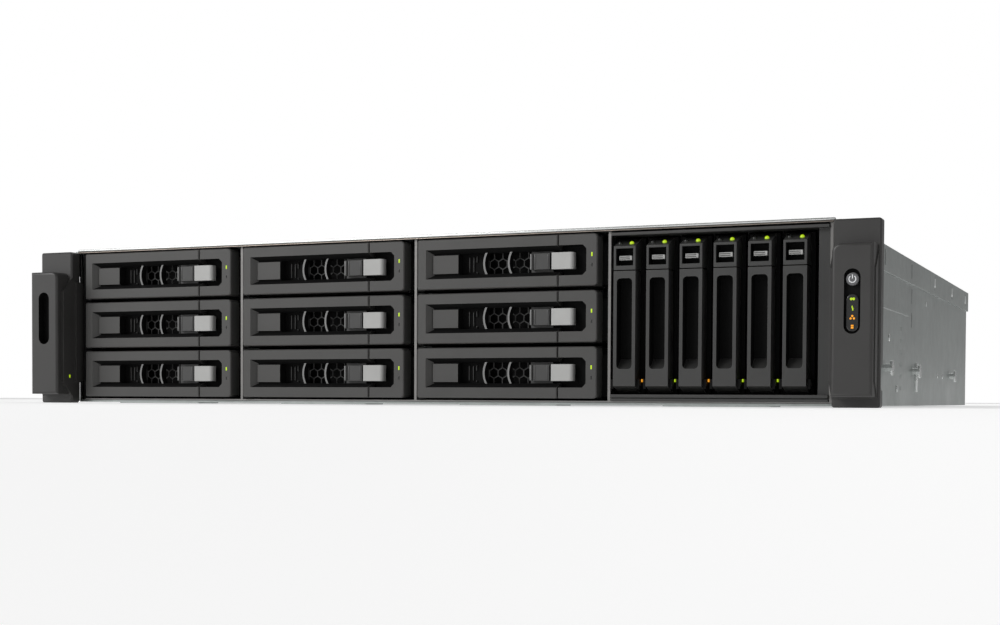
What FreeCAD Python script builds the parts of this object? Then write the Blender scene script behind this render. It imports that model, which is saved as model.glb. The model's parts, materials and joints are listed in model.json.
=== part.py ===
import FreeCAD, Part
import os

# Two-unit rack storage server: nine large drive bays, six small drive bays.
# Millimetres. X to the right, Y from the front to the back, Z up, origin under
# the middle of the overall box. Depths in this file count from the plane of the
# drive fronts, and box(), rod() and prism() add the place of that plane.

# Overall sizes
rack_width = 482.6
unit_height = 88.0
body_depth = 520.0
handle_reach = 16.0
rear_reach = 20.0
overall_depth = handle_reach + body_depth + rear_reach
face_y = handle_reach - overall_depth / 2

# Sheet metal case
sheet = 1.2
pad_drop = 0.6
case_width = 441.4
case_half = case_width / 2
case_front = 4.0
floor_top = pad_drop + sheet
cover_gap = 0.1
wall_top = unit_height - sheet - cover_gap
cover_half = case_half + cover_gap + sheet
cover_front = 0.5
cover_seam = 304.0
seam_gap = 0.6
lip_height = 14.3

# Large drive bays
columns = 3
rows = 3
column_pitch = 107.7
bay_left = -215.6
row_pitch = (unit_height - 3.61) / rows
row_base = 2.7
cage_front = 2.4
cage_depth = 168.0
cage_wall = 1.4
cage_plate = 0.7
ledge_reach = 4.0
ledge_thick = 0.8

# Large drive tray, measured from the left edge of its front
bezel_width = 100.4
bezel_height = row_pitch - 2.13
bezel_inset = 1.5
lever_length = 79.2
lever_depth = 8.0
lever_gap = 0.5
lever_swing_gap = 0.5
plate_thick = 1.6
edge_round = 2.0
pocket_left = 5.5
pocket_right = 94.7
pocket_height = 15.2
pocket_bevel = 3.2
window_height = 10.8
block_right = 23.1
vane_places = (37.1, 50.9)
vane_thick = 1.0
vane_radius = 12.0
window_right = 62.6
slider_left = 63.5
slider_width = 10.6
slider_height = 8.0
button_left = 75.6
button_width = 11.6
button_height = 8.4
button_front = 1.2
button_thick = 4.0
button_travel = 2.0
heel_bevel = 1.4
stem_radius = 1.5
fit_gap = 0.05
pivot_x = 2.2
pivot_depth = 2.6
pivot_radius = 0.9
lug_thick = 0.5
lug_gap = 0.1
rail_span = 105.2
rail_thick = 1.5
tray_depth = 165.0
drive_large = (101.6, 147.0, 25.4)
drive_start = 14.0

# Small drive bays
small_count = 6
small_pitch = 16.9
small_first = 116.05
small_width = 11.3
small_bottom = 6.3
small_top = unit_height - 4.5
small_seam = unit_height - 21.0
small_slope = unit_height - 9.0
small_lever_depth = 8.5
small_base = 10.3
small_body = 15.0
small_tray_depth = 115.0
drive_small = (9.5, 100.0, 69.85)
small_pivot_depth = 3.5
small_pivot_height = 11.0
small_pin = 1.0
grip_width = 8.0
grip_bottom = 18.4
grip_top = unit_height - 24.8
grip_floor = 7.3
frame_left = 108.6
frame_right = 216.4

# Rack ears
ear_inner = 219.2
ear_top = unit_height - 0.8
ear_back = 2.0
ear_relief = 0.8
plate_front = -5.0
handle_inner = 220.7
handle_outer = 239.6
handle_bottom = 5.0
handle_top = unit_height - 13.0
shoulder_front = -12.0
shoulder_ends = (4.0, 12.0, handle_top - 11.0, handle_top - 3.0)
flange_thick = 1.0
recess_x = 230.2
recess_width = 7.5
recess_ends = (33.6, 63.3)
power_radius = 3.0
power_height = 58.5

# Inside the case
fan_size = 80.0
fan_depth = 38.0
fan_start = 200.0
fan_places = (-130.0, 0.0, 130.0)
rotor_radius = 36.5
hub_radius = 17.0
blade_count = 7
backplane_y = 174.0
board_left = -214.0
board_right = 88.0
board_front = 272.0
board_height = 7.0
psu_left = 153.0
psu_width = 62.0
psu_height = 40.2
psu_front = 320.0
psu_gap = 0.4
stud_places = (134.8, 240.1, 418.4)
stud_height = 21.5
stud_radius = 2.2
stud_head = 4.2
stud_length = 3.4

# Screws
screw_radius = 1.5
screw_hole = 1.6
screw_head = 3.0
thumb_radius = 4.0
thumb_x = 120.0
thumb_z = 79.0
top_screws = ((-200.0, 22.0), (0.0, 22.0), (200.0, 22.0), (-200.0, 160.0), (200.0, 160.0))
rear_screws = ((-212.0, 14.0), (-212.0, 70.0), (142.0, 14.0), (142.0, 70.0))


def place(x, y, z):
    """Point at x, depth y behind the drive fronts, height z."""
    return FreeCAD.Vector(x, face_y + y, z)


def box(x0, x1, y0, y1, z0, z1):
    return Part.makeBox(x1 - x0, y1 - y0, z1 - z0, place(x0, y0, z0))


def rod(radius, start, end):
    """Round bar between two points given as (x, depth, z)."""
    first = place(*start)
    run = place(*end) - first
    return Part.makeCylinder(radius, run.Length, first, run)


def prism(outline, run):
    """Closed outline of (x, depth, z) corners pushed along run."""
    corners = [place(*point) for point in outline]
    face = Part.Face(Part.makePolygon(corners + corners[:1]))
    return face.extrude(FreeCAD.Vector(*run))


def fuse(*solids):
    return solids[0].multiFuse(list(solids[1:])).removeSplitter()


def slot_bar(x, width, y0, y1, z0, z1):
    """Upright bar with round ends, seen from the front."""
    radius = width / 2
    return fuse(
        box(x - radius, x + radius, y0, y1, z0 + radius, z1 - radius),
        rod(radius, (x, y0, z0 + radius), (x, y1, z0 + radius)),
        rod(radius, (x, y0, z1 - radius), (x, y1, z1 - radius)),
    )


def along_depth(shape):
    """Straight edges that run from front to back."""
    return [edge for edge in shape.Edges
            if edge.BoundBox.XLength < 1e-6 and edge.BoundBox.ZLength < 1e-6]


def at_depth(shape, depth):
    """Edges that lie in the upright plane at this depth."""
    return [edge for edge in shape.Edges
            if abs(edge.BoundBox.YMin - face_y - depth) < 1e-6
            and abs(edge.BoundBox.YMax - face_y - depth) < 1e-6]


def panel(x0, x1, y0, y1, z0, z1, corner, bevel=0.0, side=0):
    """Block with a bevelled front edge and corners rounded seen from the front: all, or one side's."""
    block = box(x0, x1, y0, y1, z0, z1)
    middle = (x0 + x1) / 2
    block = block.makeFillet(corner, [edge for edge in along_depth(block)
                                      if side * (edge.BoundBox.XMin - middle) >= 0])
    return block.makeChamfer(bevel, at_depth(block, y0)) if bevel else block


def funnel(x0, x1, z0, z1, inset_left, inset, y0, y1):
    """Cutter that narrows with depth: inset_left at its left, inset above and below."""
    mouth = [(x0, y0, z0), (x1, y0, z0), (x1, y0, z1), (x0, y0, z1)]
    throat = [(x0 + inset_left, y1, z0 + inset), (x1, y1, z0 + inset),
              (x1, y1, z1 - inset), (x0 + inset_left, y1, z1 - inset)]
    wires = [Part.makePolygon([place(*p) for p in loop + loop[:1]]) for loop in (mouth, throat)]
    return Part.makeLoft(wires, True, True)


def save(name, *solids):
    shape = solids[0] if len(solids) == 1 else Part.makeCompound(list(solids))
    shape.exportStep("parts/" + name + ".step")


# Case

def psu_bottom(index):
    return floor_top + psu_gap + index * (psu_height + 2 * psu_gap + sheet)


def side_marks(side):
    """Slots pressed through one side wall, as cutters."""
    inner, outer = sorted((side * (case_half - 2 * sheet), side * (case_half + 1)))
    marks = [box(inner, outer, 189 + pair * 4.0, 190 + pair * 4.0, 9.7 + row * 6.9, 12.2 + row * 6.9)
             for row in range(6) for pair in range(2)]
    for depth, height in ((231.5, 62.5), (231.5, 48.0)):
        marks.append(box(inner, outer, depth, depth + 1.6, height, height + 9.0))
    for depth, height in ((147.0, 36.5), (174.0, 8.5), (294.0, 64.5), (352.0, 18.5), (378.0, 18.5)):
        marks.append(box(inner, outer, depth, depth + 1.2, height, height + 4.0))
    return marks


def chassis_pan():
    back = body_depth
    floor = box(-case_half, case_half, case_front, back, pad_drop, floor_top)
    walls = [box(side * case_half - (sheet if side > 0 else 0), side * case_half + (0 if side > 0 else sheet),
                 case_front, back, pad_drop, wall_top) for side in (-1, 1)]
    rear = box(-case_half, case_half, back - sheet, back, pad_drop, wall_top)
    pads = [box(x0, x1, y0, y0 + 20, 0, floor_top)
            for y0 in (case_front, back - 40)
            for x0, x1 in ((-192, -138), (-83.6, -30.8), (24.6, 79.1), (134.8, 188.8))]
    ribs = [box(min(side * case_half, side * (case_half + 0.5)), max(side * case_half, side * (case_half + 0.5)),
                case_front, 217, 54, 56.4) for side in (-1, 1)]
    shelf_bottom = psu_bottom(0) + psu_height + psu_gap
    shelf = box(psu_left - psu_gap - sheet, case_half, psu_front - 10, back, shelf_bottom, shelf_bottom + sheet)
    shelf_wall = box(psu_left - psu_gap - sheet, psu_left - psu_gap, psu_front - 10, back, pad_drop, wall_top - 2)
    pan = fuse(floor, rear, shelf, shelf_wall, *walls, *pads, *ribs)
    cuts = [box(psu_left - psu_gap, psu_left + psu_width + psu_gap, back - 2 * sheet, back + 1,
                psu_bottom(index) - psu_gap, psu_bottom(index) + psu_height + psu_gap) for index in (0, 1)]
    cuts.append(box(*port_window(), back - 2 * sheet, back + 1, board_height, board_height + 20))
    cuts += [slot_bar(x, 4.0, back - 2 * sheet, back + 1, 40, 78) for x in range(-204, 120, 9)]
    cuts += side_marks(-1) + side_marks(1)
    cuts += [rod(screw_hole, (x, back - 2 * sheet, z), (x, back + 1, z)) for x, z in rear_screws]
    cuts += [rod(screw_hole, (side * thumb_x, back - 2 * sheet, thumb_z), (side * thumb_x, back + 1, thumb_z))
             for side in (-1, 1)]
    cuts += [rod(stud_radius - 0.3 + fit_gap, (side * (case_half - 2 * sheet), y, stud_height),
                 (side * (case_half + 1), y, stud_height)) for side in (-1, 1) for y in stud_places]
    save("chassis_pan", pan.cut(cuts))


def cover_shell(front, back):
    """Top sheet with a lip folded down each side."""
    parts = [box(-cover_half, cover_half, front, back, unit_height - sheet, unit_height)]
    for side in (-1, 1):
        inner, outer = sorted((side * (cover_half - sheet), side * cover_half))
        parts.append(box(inner, outer, front, back, unit_height - lip_height, unit_height))
    return parts


def lip_slots(depths):
    """Hook slots through both side lips."""
    return [box(min(side * (cover_half - 2), side * (cover_half + 1)),
                max(side * (cover_half - 2), side * (cover_half + 1)), y - 1, y + 1, 77, 85.5)
            for side in (-1, 1) for y in depths]


def front_cover():
    tongue_side = case_half - sheet - 8
    tongue = box(-tongue_side, tongue_side, cover_seam - sheet, cover_seam + 9,
                 unit_height - 2 * sheet - cover_gap, unit_height - sheet - cover_gap)
    joggle = box(-tongue_side, tongue_side, cover_seam - sheet, cover_seam,
                 unit_height - 2 * sheet - cover_gap, unit_height)
    cover = fuse(*cover_shell(cover_front, cover_seam), joggle, tongue)
    holes = [rod(screw_head + 0.1, (x, y, unit_height - sheet - 1), (x, y, unit_height + 1))
             for x, y in top_screws]
    corners = [box(side * cover_half - 3, side * cover_half + 3, cover_front - 1, ear_back + cover_gap,
                   0, unit_height + 1) for side in (-1, 1)]
    save("front_cover", cover.cut(holes + corners + lip_slots((125.0, 222.6))))


def rear_cover():
    """Cover that slides back off its hooks, with two captive thumbscrews in its hem."""
    back = body_depth + cover_gap
    hem = box(-cover_half, psu_left - 6, back, back + sheet, unit_height - lip_height, unit_height)
    cover = fuse(*cover_shell(cover_seam + seam_gap, back + sheet), hem)
    cover = cover.cut(lip_slots((326.0, 417.7, 500.0)) + [
        rod(screw_radius + fit_gap, (side * thumb_x, back - 1, thumb_z), (side * thumb_x, back + 3, thumb_z))
        for side in (-1, 1)])
    thumbscrews = [fuse(
        rod(thumb_radius, (side * thumb_x, back + sheet, thumb_z), (side * thumb_x, back + sheet + 6, thumb_z)),
        rod(screw_radius, (side * thumb_x, back - 3, thumb_z), (side * thumb_x, back + sheet + 1, thumb_z)),
    ) for side in (-1, 1)]
    save("rear_cover", cover, *thumbscrews)


# Drive cage

def row_middle(row):
    """Height of a row's centre line, row 0 at the bottom."""
    return row_base + row_pitch * (row + 0.5)


def column_edge(column):
    return bay_left + column_pitch * column


def cage_top():
    return wall_top - cover_gap + 0.05


def drive_cage():
    back = cage_depth
    low = floor_top + 0.1
    high = cage_top()
    right = frame_right + 0.2
    parts = [box(bay_left - cage_wall / 2, right + cage_wall, cage_front, back, low, low + cage_plate),
             box(bay_left - cage_wall / 2, right + cage_wall, small_base + 3.2, back, high - cage_plate, high),
             box(right, right + cage_wall, cage_front, back, low, high)]
    for column in range(columns + 1):
        middle = column_edge(column)
        parts.append(box(middle - cage_wall / 2, middle + cage_wall / 2, cage_front, back, low, high))
        for row in range(rows):
            level = row_base + row_pitch * row
            reach_left = ledge_reach if column > 0 else 0
            reach_right = ledge_reach if column < columns else 0
            parts.append(box(middle - reach_left, middle + reach_right, drive_start, back,
                             level - ledge_thick / 2, level + ledge_thick / 2))
    cage = fuse(*parts)
    holes = [rod(screw_hole, (x, y, high - 2), (x, y, high + 1)) for x, y in top_screws]
    save("drive_cage", cage.cut(holes))


def ssd_frame():
    """Moulded surround of the small bays with guide ribs above and below each tray."""
    low = floor_top + 0.1 + cage_plate
    high = cage_top() - cage_plate
    back = small_tray_depth
    parts = [
        box(frame_left, frame_right, 1.4, 12, low, 4.0),
        box(frame_left, frame_right, 0.6, 12, 4.3, small_bottom - 0.4),
        box(frame_left, frame_right, 2.2, back, 3.9, 4.4),
        box(frame_left, frame_right, 12, back, low, small_bottom - 0.4),
        box(frame_left, frame_right, 1.0, 12, small_top + 0.9, high),
        box(frame_left, frame_right, 12, back, small_top + 0.9, high),
        box(frame_right - 5.4, frame_right, 4, 14, low, high),
    ]
    for index in range(small_count):
        rib = small_middle(index) + small_pitch / 2
        parts.append(box(rib - 0.4, rib + 0.4, 12, back, low, 9))
        parts.append(box(rib - 0.4, rib + 0.4, 12, back, small_top - 2.5, high))
    save("ssd_frame", fuse(*parts))


# Rack ears

def ear_body(side):
    """Moulded ear with its grip, drawn for the right side and mirrored for the left."""
    outer = rack_width / 2
    plate = panel(ear_inner, outer, plate_front, ear_back, 0, ear_top, 1.2, 0.8)
    handle_front = -handle_reach
    handle = box(handle_inner, handle_outer, handle_front, plate_front + 1, handle_bottom, handle_top)
    top_left = [edge for edge in along_depth(handle)
                if edge.BoundBox.XMin < handle_inner + 1 and edge.BoundBox.ZMin > handle_top - 1]
    handle = handle.makeFillet(4.0, top_left)
    handle = handle.makeFillet(1.6, at_depth(handle, handle_front))
    low, low_front, high_front, high = shoulder_ends
    profile = [(plate_front + 1, low), (plate_front, low), (shoulder_front, low_front),
               (shoulder_front, high_front), (plate_front, high), (plate_front + 1, high)]
    shoulder = prism([(ear_inner, y, z) for y, z in profile], (handle_outer + 0.6 - ear_inner, 0, 0))
    flange = box(ear_inner - flange_thick, ear_inner, -2, 22, 12, 70)
    ear = fuse(plate, handle, shoulder, flange)
    notch = box(outer - 3, outer + 1, ear_back - 4, ear_back + 1, 8, 20)
    notch = notch.makeFillet(2.0, [edge for edge in notch.Edges
                                   if edge.BoundBox.XLength > 1
                                   and edge.BoundBox.YMin < face_y + ear_back - 3.9
                                   and edge.BoundBox.YMax < face_y + ear_back - 3.9])
    relief = box(ear_inner + 0.01, cover_half + 0.3, ear_back - ear_relief, ear_back + 1, -1, unit_height + 1)
    ear = ear.cut([notch, relief])
    return ear if side > 0 else ear.mirror(FreeCAD.Vector(0, 0, 0), FreeCAD.Vector(1, 0, 0))


def left_ear():
    recess = slot_bar(-recess_x, recess_width, -handle_reach - 1, -handle_reach + 5, *recess_ends)
    save("left_ear", ear_body(-1).cut(recess))


def right_ear():
    front = -handle_reach
    recess = slot_bar(recess_x, recess_width, front - 1, front + 2.5, *recess_ends)
    bore = rod(power_radius + fit_gap, (recess_x, front, power_height), (recess_x, front + 7, power_height))
    save("right_ear", ear_body(1).cut([recess, bore]))


def power_button():
    front = -handle_reach
    cap = rod(power_radius, (recess_x, front + 0.6, power_height), (recess_x, front + 5, power_height))
    save("power_button", cap.makeFillet(0.6, at_depth(cap, front + 0.6)))


def status_window():
    front = -handle_reach
    save("status_window", slot_bar(recess_x, 5.3, front + 1.2, front + 2.5, recess_ends[0] + 1.2, 51.6))


def rail_studs():
    studs = []
    for side in (-1, 1):
        for y in stud_places:
            studs.append(fuse(
                rod(stud_radius - 0.3, (side * (case_half - sheet), y, stud_height),
                    (side * case_half, y, stud_height)),
                rod(stud_radius, (side * case_half, y, stud_height),
                    (side * (case_half + stud_length), y, stud_height)),
                rod(stud_head, (side * (case_half + stud_length), y, stud_height),
                    (side * (case_half + stud_length + sheet), y, stud_height))))
    save("rail_studs", *studs)


def case_screws():
    """Flush screws in the front cover and pan heads on the rear wall."""
    top = [fuse(rod(screw_head, (x, y, unit_height - sheet), (x, y, unit_height)),
                rod(screw_radius, (x, y, cage_top() - cage_plate), (x, y, unit_height - sheet)))
           for x, y in top_screws]
    rear = [fuse(rod(screw_head, (x, body_depth, z), (x, body_depth + 1.6, z)),
                 rod(screw_radius, (x, body_depth - 4, z), (x, body_depth, z)))
            for x, z in rear_screws]
    save("case_screws", *top, *rear)


# Large drive trays

def bezel_left(column):
    return column_edge(column) + bezel_inset


def hdd_tray(name, x, z):
    """Face plate, fixed right end, hinge lugs, side rails and the drive they carry."""
    plate_front_y = lever_depth + lever_swing_gap
    plate_back = plate_front_y + plate_thick
    right = x + bezel_width
    half = bezel_height / 2
    end_left = x + lever_length + lever_gap
    end = panel(end_left, right, 0, plate_back, z - half, z + half, edge_round, 0.5, 1)
    pocket = prism([(end_left - 1, 0, z - pocket_height / 2), (x + pocket_right - 2, 0, z - pocket_height / 2),
                    (x + pocket_right, 0, z - pocket_height / 2 + 2),
                    (x + pocket_right, 0, z + pocket_height / 2 - 2),
                    (x + pocket_right - 2, 0, z + pocket_height / 2), (end_left - 1, 0, z + pocket_height / 2)],
                   (0, button_front + button_thick + button_travel + 0.2, 0))
    end = end.cut(pocket)
    plate = box(x, right, plate_front_y, plate_back, z - half - 0.3, z + half + 0.3)
    vent = box(x + vane_places[0] + 1, x + window_right, plate_front_y - 1, plate_back + 1, z - 5.6, z + 5.6)
    plate = plate.cut(vent)
    lugs = [box(x + 0.4, x + 4.4, 0.8, plate_back,
                z + side * (half + lug_gap) - (lug_thick if side < 0 else 0),
                z + side * (half + lug_gap) + (lug_thick if side > 0 else 0)) for side in (-1, 1)]
    middle = x - bezel_inset + column_pitch / 2
    rails = []
    for side in (-1, 1):
        inner, outer = sorted((middle + side * (rail_span / 2 - rail_thick), middle + side * rail_span / 2))
        rails.append(box(inner, outer, plate_back, tray_depth, z - row_pitch / 2 + ledge_thick, z + 9))
    carrier = box(middle - rail_span / 2, middle + rail_span / 2, plate_front_y + 0.4, plate_back,
                  z - half + 1, z + 9)
    tray = fuse(plate, end, carrier.cut(vent), *lugs, *rails)
    holes = [rod(stem_radius + fit_gap, (x + button_left + button_width / 2, 1, z),
                 (x + button_left + button_width / 2, plate_back + 1, z)),
             rod(pivot_radius + fit_gap, (x + pivot_x, pivot_depth, z - row_pitch / 2),
                 (x + pivot_x, pivot_depth, z + row_pitch / 2))]
    width, length, height = drive_large
    drive = box(middle - width / 2, middle + width / 2, drive_start, drive_start + length,
                z - height / 2, z + height / 2)
    save(name, tray.cut(holes), drive)


def hdd_lever(name, x, z):
    """Front lever: bevelled window with a finger block, two curved vanes and the lock slider."""
    half = bezel_height / 2
    lever = panel(x, x + lever_length, 0, lever_depth, z - half, z + half, edge_round, 0.5, -1)
    inset = (pocket_height - window_height) / 2
    bevel = funnel(x + pocket_left, x + lever_length + 1, z - pocket_height / 2, z + pocket_height / 2,
                   pocket_bevel, inset, -0.01, 3.6)
    inner_left = x + pocket_left + pocket_bevel
    block_front = 2.4
    deep = box(x + block_right, x + lever_length + 1, 3, lever_depth + 1,
               z - window_height / 2, z + window_height / 2)
    heel = prism([(x - 0.1, -0.1, z - half - 1), (x + heel_bevel, -0.1, z - half - 1),
                  (x - 0.1, heel_bevel, z - half - 1)], (0, 0, bezel_height + 2))
    lever = lever.cut([bevel, deep, heel])
    block = box(inner_left, x + block_right, block_front, lever_depth, z - window_height / 2 + 0.7,
                z + window_height / 2 - 0.7)
    vanes = []
    for place_x in vane_places:
        middle_x = x + place_x + vane_radius
        ring = rod(vane_radius, (middle_x, 2.8, z), (middle_x, lever_depth - 0.8, z)).cut(
            rod(vane_radius - vane_thick, (middle_x, 1, z), (middle_x, lever_depth, z)))
        vanes.append(ring.common(box(x + place_x - 1, x + place_x + 4, 0, lever_depth,
                                     z - window_height / 2 - 0.1, z + window_height / 2 + 0.1)))
    bridge = box(x + window_right, x + slider_left + slider_width + 0.5, lever_depth - 1.6, lever_depth,
                 z - window_height / 2 - 0.1, z + window_height / 2 + 0.1)
    pin = rod(pivot_radius, (x + pivot_x, pivot_depth, z - half - lug_gap - lug_thick),
              (x + pivot_x, pivot_depth, z + half + lug_gap + lug_thick))
    lever = fuse(lever, block, bridge, pin, *vanes)
    slider = box(x + slider_left, x + slider_left + slider_width, 2.2, lever_depth - 1.6,
                 z - slider_height / 2, z + slider_height / 2)
    groove = box(x + slider_left + 1.2, x + slider_left + 2.2, 1, 3, z - slider_height, z + slider_height)
    save(name, lever, slider.cut(groove))


def hdd_button(name, x, z):
    left = x + button_left
    cap = box(left, left + button_width, button_front, button_front + button_thick,
              z - button_height / 2, z + button_height / 2)
    right_edges = [edge for edge in cap.Edges if edge.BoundBox.XMin > left + button_width - 0.1
                   and edge.BoundBox.YMax < face_y + button_front + 0.1]
    cap = cap.makeFillet(1.8, right_edges)
    stem = rod(stem_radius, (left + button_width / 2, button_front + button_thick - 1, z),
               (left + button_width / 2, lever_depth + lever_swing_gap + plate_thick + 1, z))
    save(name, fuse(cap, stem))


# Small drive trays

def small_middle(index):
    return small_first + small_pitch * index


def ssd_tray(name, x):
    """Head with its latch, base plate, lever lugs, guide rails and the drive."""
    half = small_width / 2
    body = small_body / 2
    back = small_base + 1.7
    head = prism([(x - half, 0, small_seam + 0.25), (x - half, 0, small_slope), (x - half, small_base, small_top),
                  (x - half, small_base, small_seam + 0.25)], (small_width, 0, 0))
    window = box(x - 4.4, x + 4.4, -1, 6, small_seam + 2.4, small_seam + 10.8)
    latch = box(x - 3.35, x + 3.35, 1.5, 6.0, small_seam + 5.2, small_seam + 7.3)
    plate = box(x - body, x + body, small_base, back, small_bottom + 0.1, small_top)
    lugs = []
    for side in (-1, 1):
        inner, outer = sorted((x + side * (half + 0.3), x + side * body))
        lugs.append(box(inner, outer, 1.6, back, small_pivot_height - 2.4, small_pivot_height + 2.4))
    top_rail = box(x - body, x + body, small_base, small_tray_depth, small_top - 3.1, small_top)
    low_rail = box(x - body, x + body, small_base, small_tray_depth, small_bottom + 0.1, 8.6)
    tray = fuse(plate, head, top_rail, low_rail, *lugs)
    bore = rod(small_pin + fit_gap, (x - body - 1, small_pivot_depth, small_pivot_height),
               (x + body + 1, small_pivot_depth, small_pivot_height))
    width, length, height = drive_small
    drive = box(x - width / 2, x + width / 2, back + 1, back + 1 + length, 9.4, 9.4 + height)
    save(name, tray.cut([window, bore]), latch, drive)


def ssd_lever(name, x):
    """Tall lever with a deep finger slot, hinged on a pin near its foot."""
    half = small_width / 2
    depth = small_lever_depth
    lever = prism([(x - half, 0, 10), (x - half, 0, small_seam - 0.25), (x - half, depth, small_seam - 0.25),
                   (x - half, depth, 10 - 3.7 * depth / 10)], (small_width, 0, 0))
    grip = box(x - grip_width / 2, x + grip_width / 2, -1, grip_floor, grip_bottom, grip_top)
    grip = grip.makeFillet(2.0, along_depth(grip))
    ramp = prism([(x - grip_width / 2, 1.2, grip_bottom - 0.1), (x - grip_width / 2, grip_floor, grip_bottom - 0.1),
                  (x - grip_width / 2, grip_floor, grip_bottom + 5)], (grip_width, 0, 0))
    pin = rod(small_pin, (x - small_body / 2, small_pivot_depth, small_pivot_height),
              (x + small_body / 2, small_pivot_depth, small_pivot_height))
    save(name, fuse(lever.cut(grip), ramp, pin))


# Electronics

def drive_backplane():
    """Board behind the large bays and a short board behind the small bays, with their sockets."""
    y = backplane_y
    large = box(-case_half + 4, 107, y, y + 1.6, 4, unit_height - 6)
    small = box(109, 214, small_tray_depth + 1.5, small_tray_depth + 3.1, 8, unit_height - 8)
    vents = [box(column_edge(c) + 12, column_edge(c) + 80, y - 1, y + 3, row_middle(r) - 4, row_middle(r) + 4)
             for c in range(columns) for r in range(rows)]
    sockets = [box(column_edge(c) + 84, column_edge(c) + 100, y - 6, y, row_middle(r) - 3, row_middle(r) + 3)
               for c in range(columns) for r in range(rows)]
    save("drive_backplane", fuse(large.cut(vents), *sockets), small)


def fan_frames():
    frames = []
    for x in fan_places:
        z = floor_top + 0.2 + fan_size / 2
        frame = panel(x - fan_size / 2, x + fan_size / 2, fan_start, fan_start + fan_depth,
                      z - fan_size / 2, z + fan_size / 2, 4.0)
        frame = frame.cut(rod(rotor_radius + 1.5, (x, fan_start - 1, z), (x, fan_start + fan_depth + 1, z)))
        back = fan_start + fan_depth
        struts = [box(x - 37.8, x + 37.8, back - 3, back, z - 2, z + 2),
                  box(x - 2, x + 2, back - 3, back, z - 37.8, z + 37.8)]
        hub = rod(hub_radius, (x, back - 3, z), (x, back, z))
        frames.append(fuse(frame, hub, *struts))
    save("fan_frames", *frames)


def fan_rotor(name, x):
    z = floor_top + 0.2 + fan_size / 2
    front = fan_start + 3
    back = fan_start + fan_depth - 4
    hub = rod(hub_radius, (x, front, z), (x, back, z))
    centre = place(x, 0, z)
    blades = []
    for index in range(blade_count):
        blade = box(x - 1.0, x + 1.0, front + 2, back - 2, z + hub_radius - 1, z + rotor_radius)
        blade.rotate(place(x, (front + back) / 2, z), FreeCAD.Vector(0, 0, 1), 38)
        blade.rotate(centre, FreeCAD.Vector(0, 1, 0), index * 360 / blade_count)
        blades.append(blade)
    reach = rod(rotor_radius, (x, front, z), (x, back, z))
    save(name, fuse(hub, *blades).common(reach))


def port_window():
    """Left and right edges of the rear port opening."""
    return -200.0, -92.0


def mainboard():
    """Board on its standoffs, with the network and serial bus sockets at the rear edge."""
    top = board_height + 1.6
    end = body_depth - 6
    board = box(board_left, board_right, board_front, end, board_height, top)
    posts = [rod(3, (x, y, floor_top), (x, y, board_height))
             for x in (board_left + 8, -60, board_right - 8) for y in (board_front + 8, end - 30)]
    left = port_window()[0]
    network = box(left + 2, left + 68, end - 20, body_depth - 0.2, top, top + 14)
    jacks = [box(left + 4.5 + 16 * n, left + 16.5 + 16 * n, end - 8, body_depth + 1, top + 2, top + 11)
             for n in range(4)]
    bus = box(left + 76, left + 104, end - 16, body_depth - 0.2, top, top + 8)
    plugs = [box(left + 77.5 + 13.4 * n, left + 77.5 + 11.6 + 13.4 * n, end - 8, body_depth + 1,
                 top + 1.5, top + 6.5) for n in range(2)]
    socket = box(-104, -56, 336, 384, top, top + 4)
    slots = [box(x - 3, x + 3, 318, 456, top, top + 5) for x in memory_places()]
    save("mainboard", fuse(board, *posts), network.cut(jacks), bus.cut(plugs), socket, *slots)


def heatsink():
    base_z = board_height + 1.6 + 4
    base = box(-120, -40, 320, 400, base_z, base_z + 5)
    fins = [box(x, x + 1.2, 320, 400, base_z + 4, base_z + 50) for x in range(-120, -42, 6)]
    save("heatsink", fuse(base, *fins))


def memory_places():
    return [-10 + 12 * n for n in range(4)]


def memory_modules():
    bottom = board_height + 1.6 + 5
    save("memory_modules", *[box(x - 0.7, x + 0.7, 320, 453, bottom, bottom + 30) for x in memory_places()])


def psu(name, index):
    """Power supply module: box, rear fan recess, mains inlet, handle and latch."""
    low = psu_bottom(index)
    right = psu_left + psu_width
    back = body_depth
    case = box(psu_left, right, psu_front, back, low, low + psu_height)
    inlet_x = psu_left + 4
    inlet = box(inlet_x, inlet_x + 24, back - 14, back + 1, low + 4, low + 20)
    fan_x = right - 17
    fan = rod(14, (fan_x, back - 6, low + psu_height / 2), (fan_x, back + 1, low + psu_height / 2))
    case = case.cut([inlet, fan])
    spider = [rod(13 - 4 * n, (fan_x, back - 1.4, low + psu_height / 2), (fan_x, back - 0.2, low + psu_height / 2)).cut(
        rod(11.6 - 4 * n, (fan_x, back - 2, low + psu_height / 2), (fan_x, back, low + psu_height / 2)))
        for n in range(3)]
    cross = box(fan_x - 14.5, fan_x + 14.5, back - 1.4, back - 0.2, low + psu_height / 2 - 0.7,
                low + psu_height / 2 + 0.7)
    bar_z = low + psu_height - 9
    bar = box(psu_left + 4, psu_left + 30, back + rear_reach - 4, back + rear_reach, bar_z, bar_z + 5)
    arms = [box(x, x + 4, back - 1, back + rear_reach, bar_z, bar_z + 5)
            for x in (psu_left + 4, psu_left + 26)]
    latch = box(psu_left + 12, psu_left + 22, back - 1, back + 7, low + 22.5, low + 26.5)
    save(name, fuse(case, cross, bar, latch, *arms, *spider))


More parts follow.
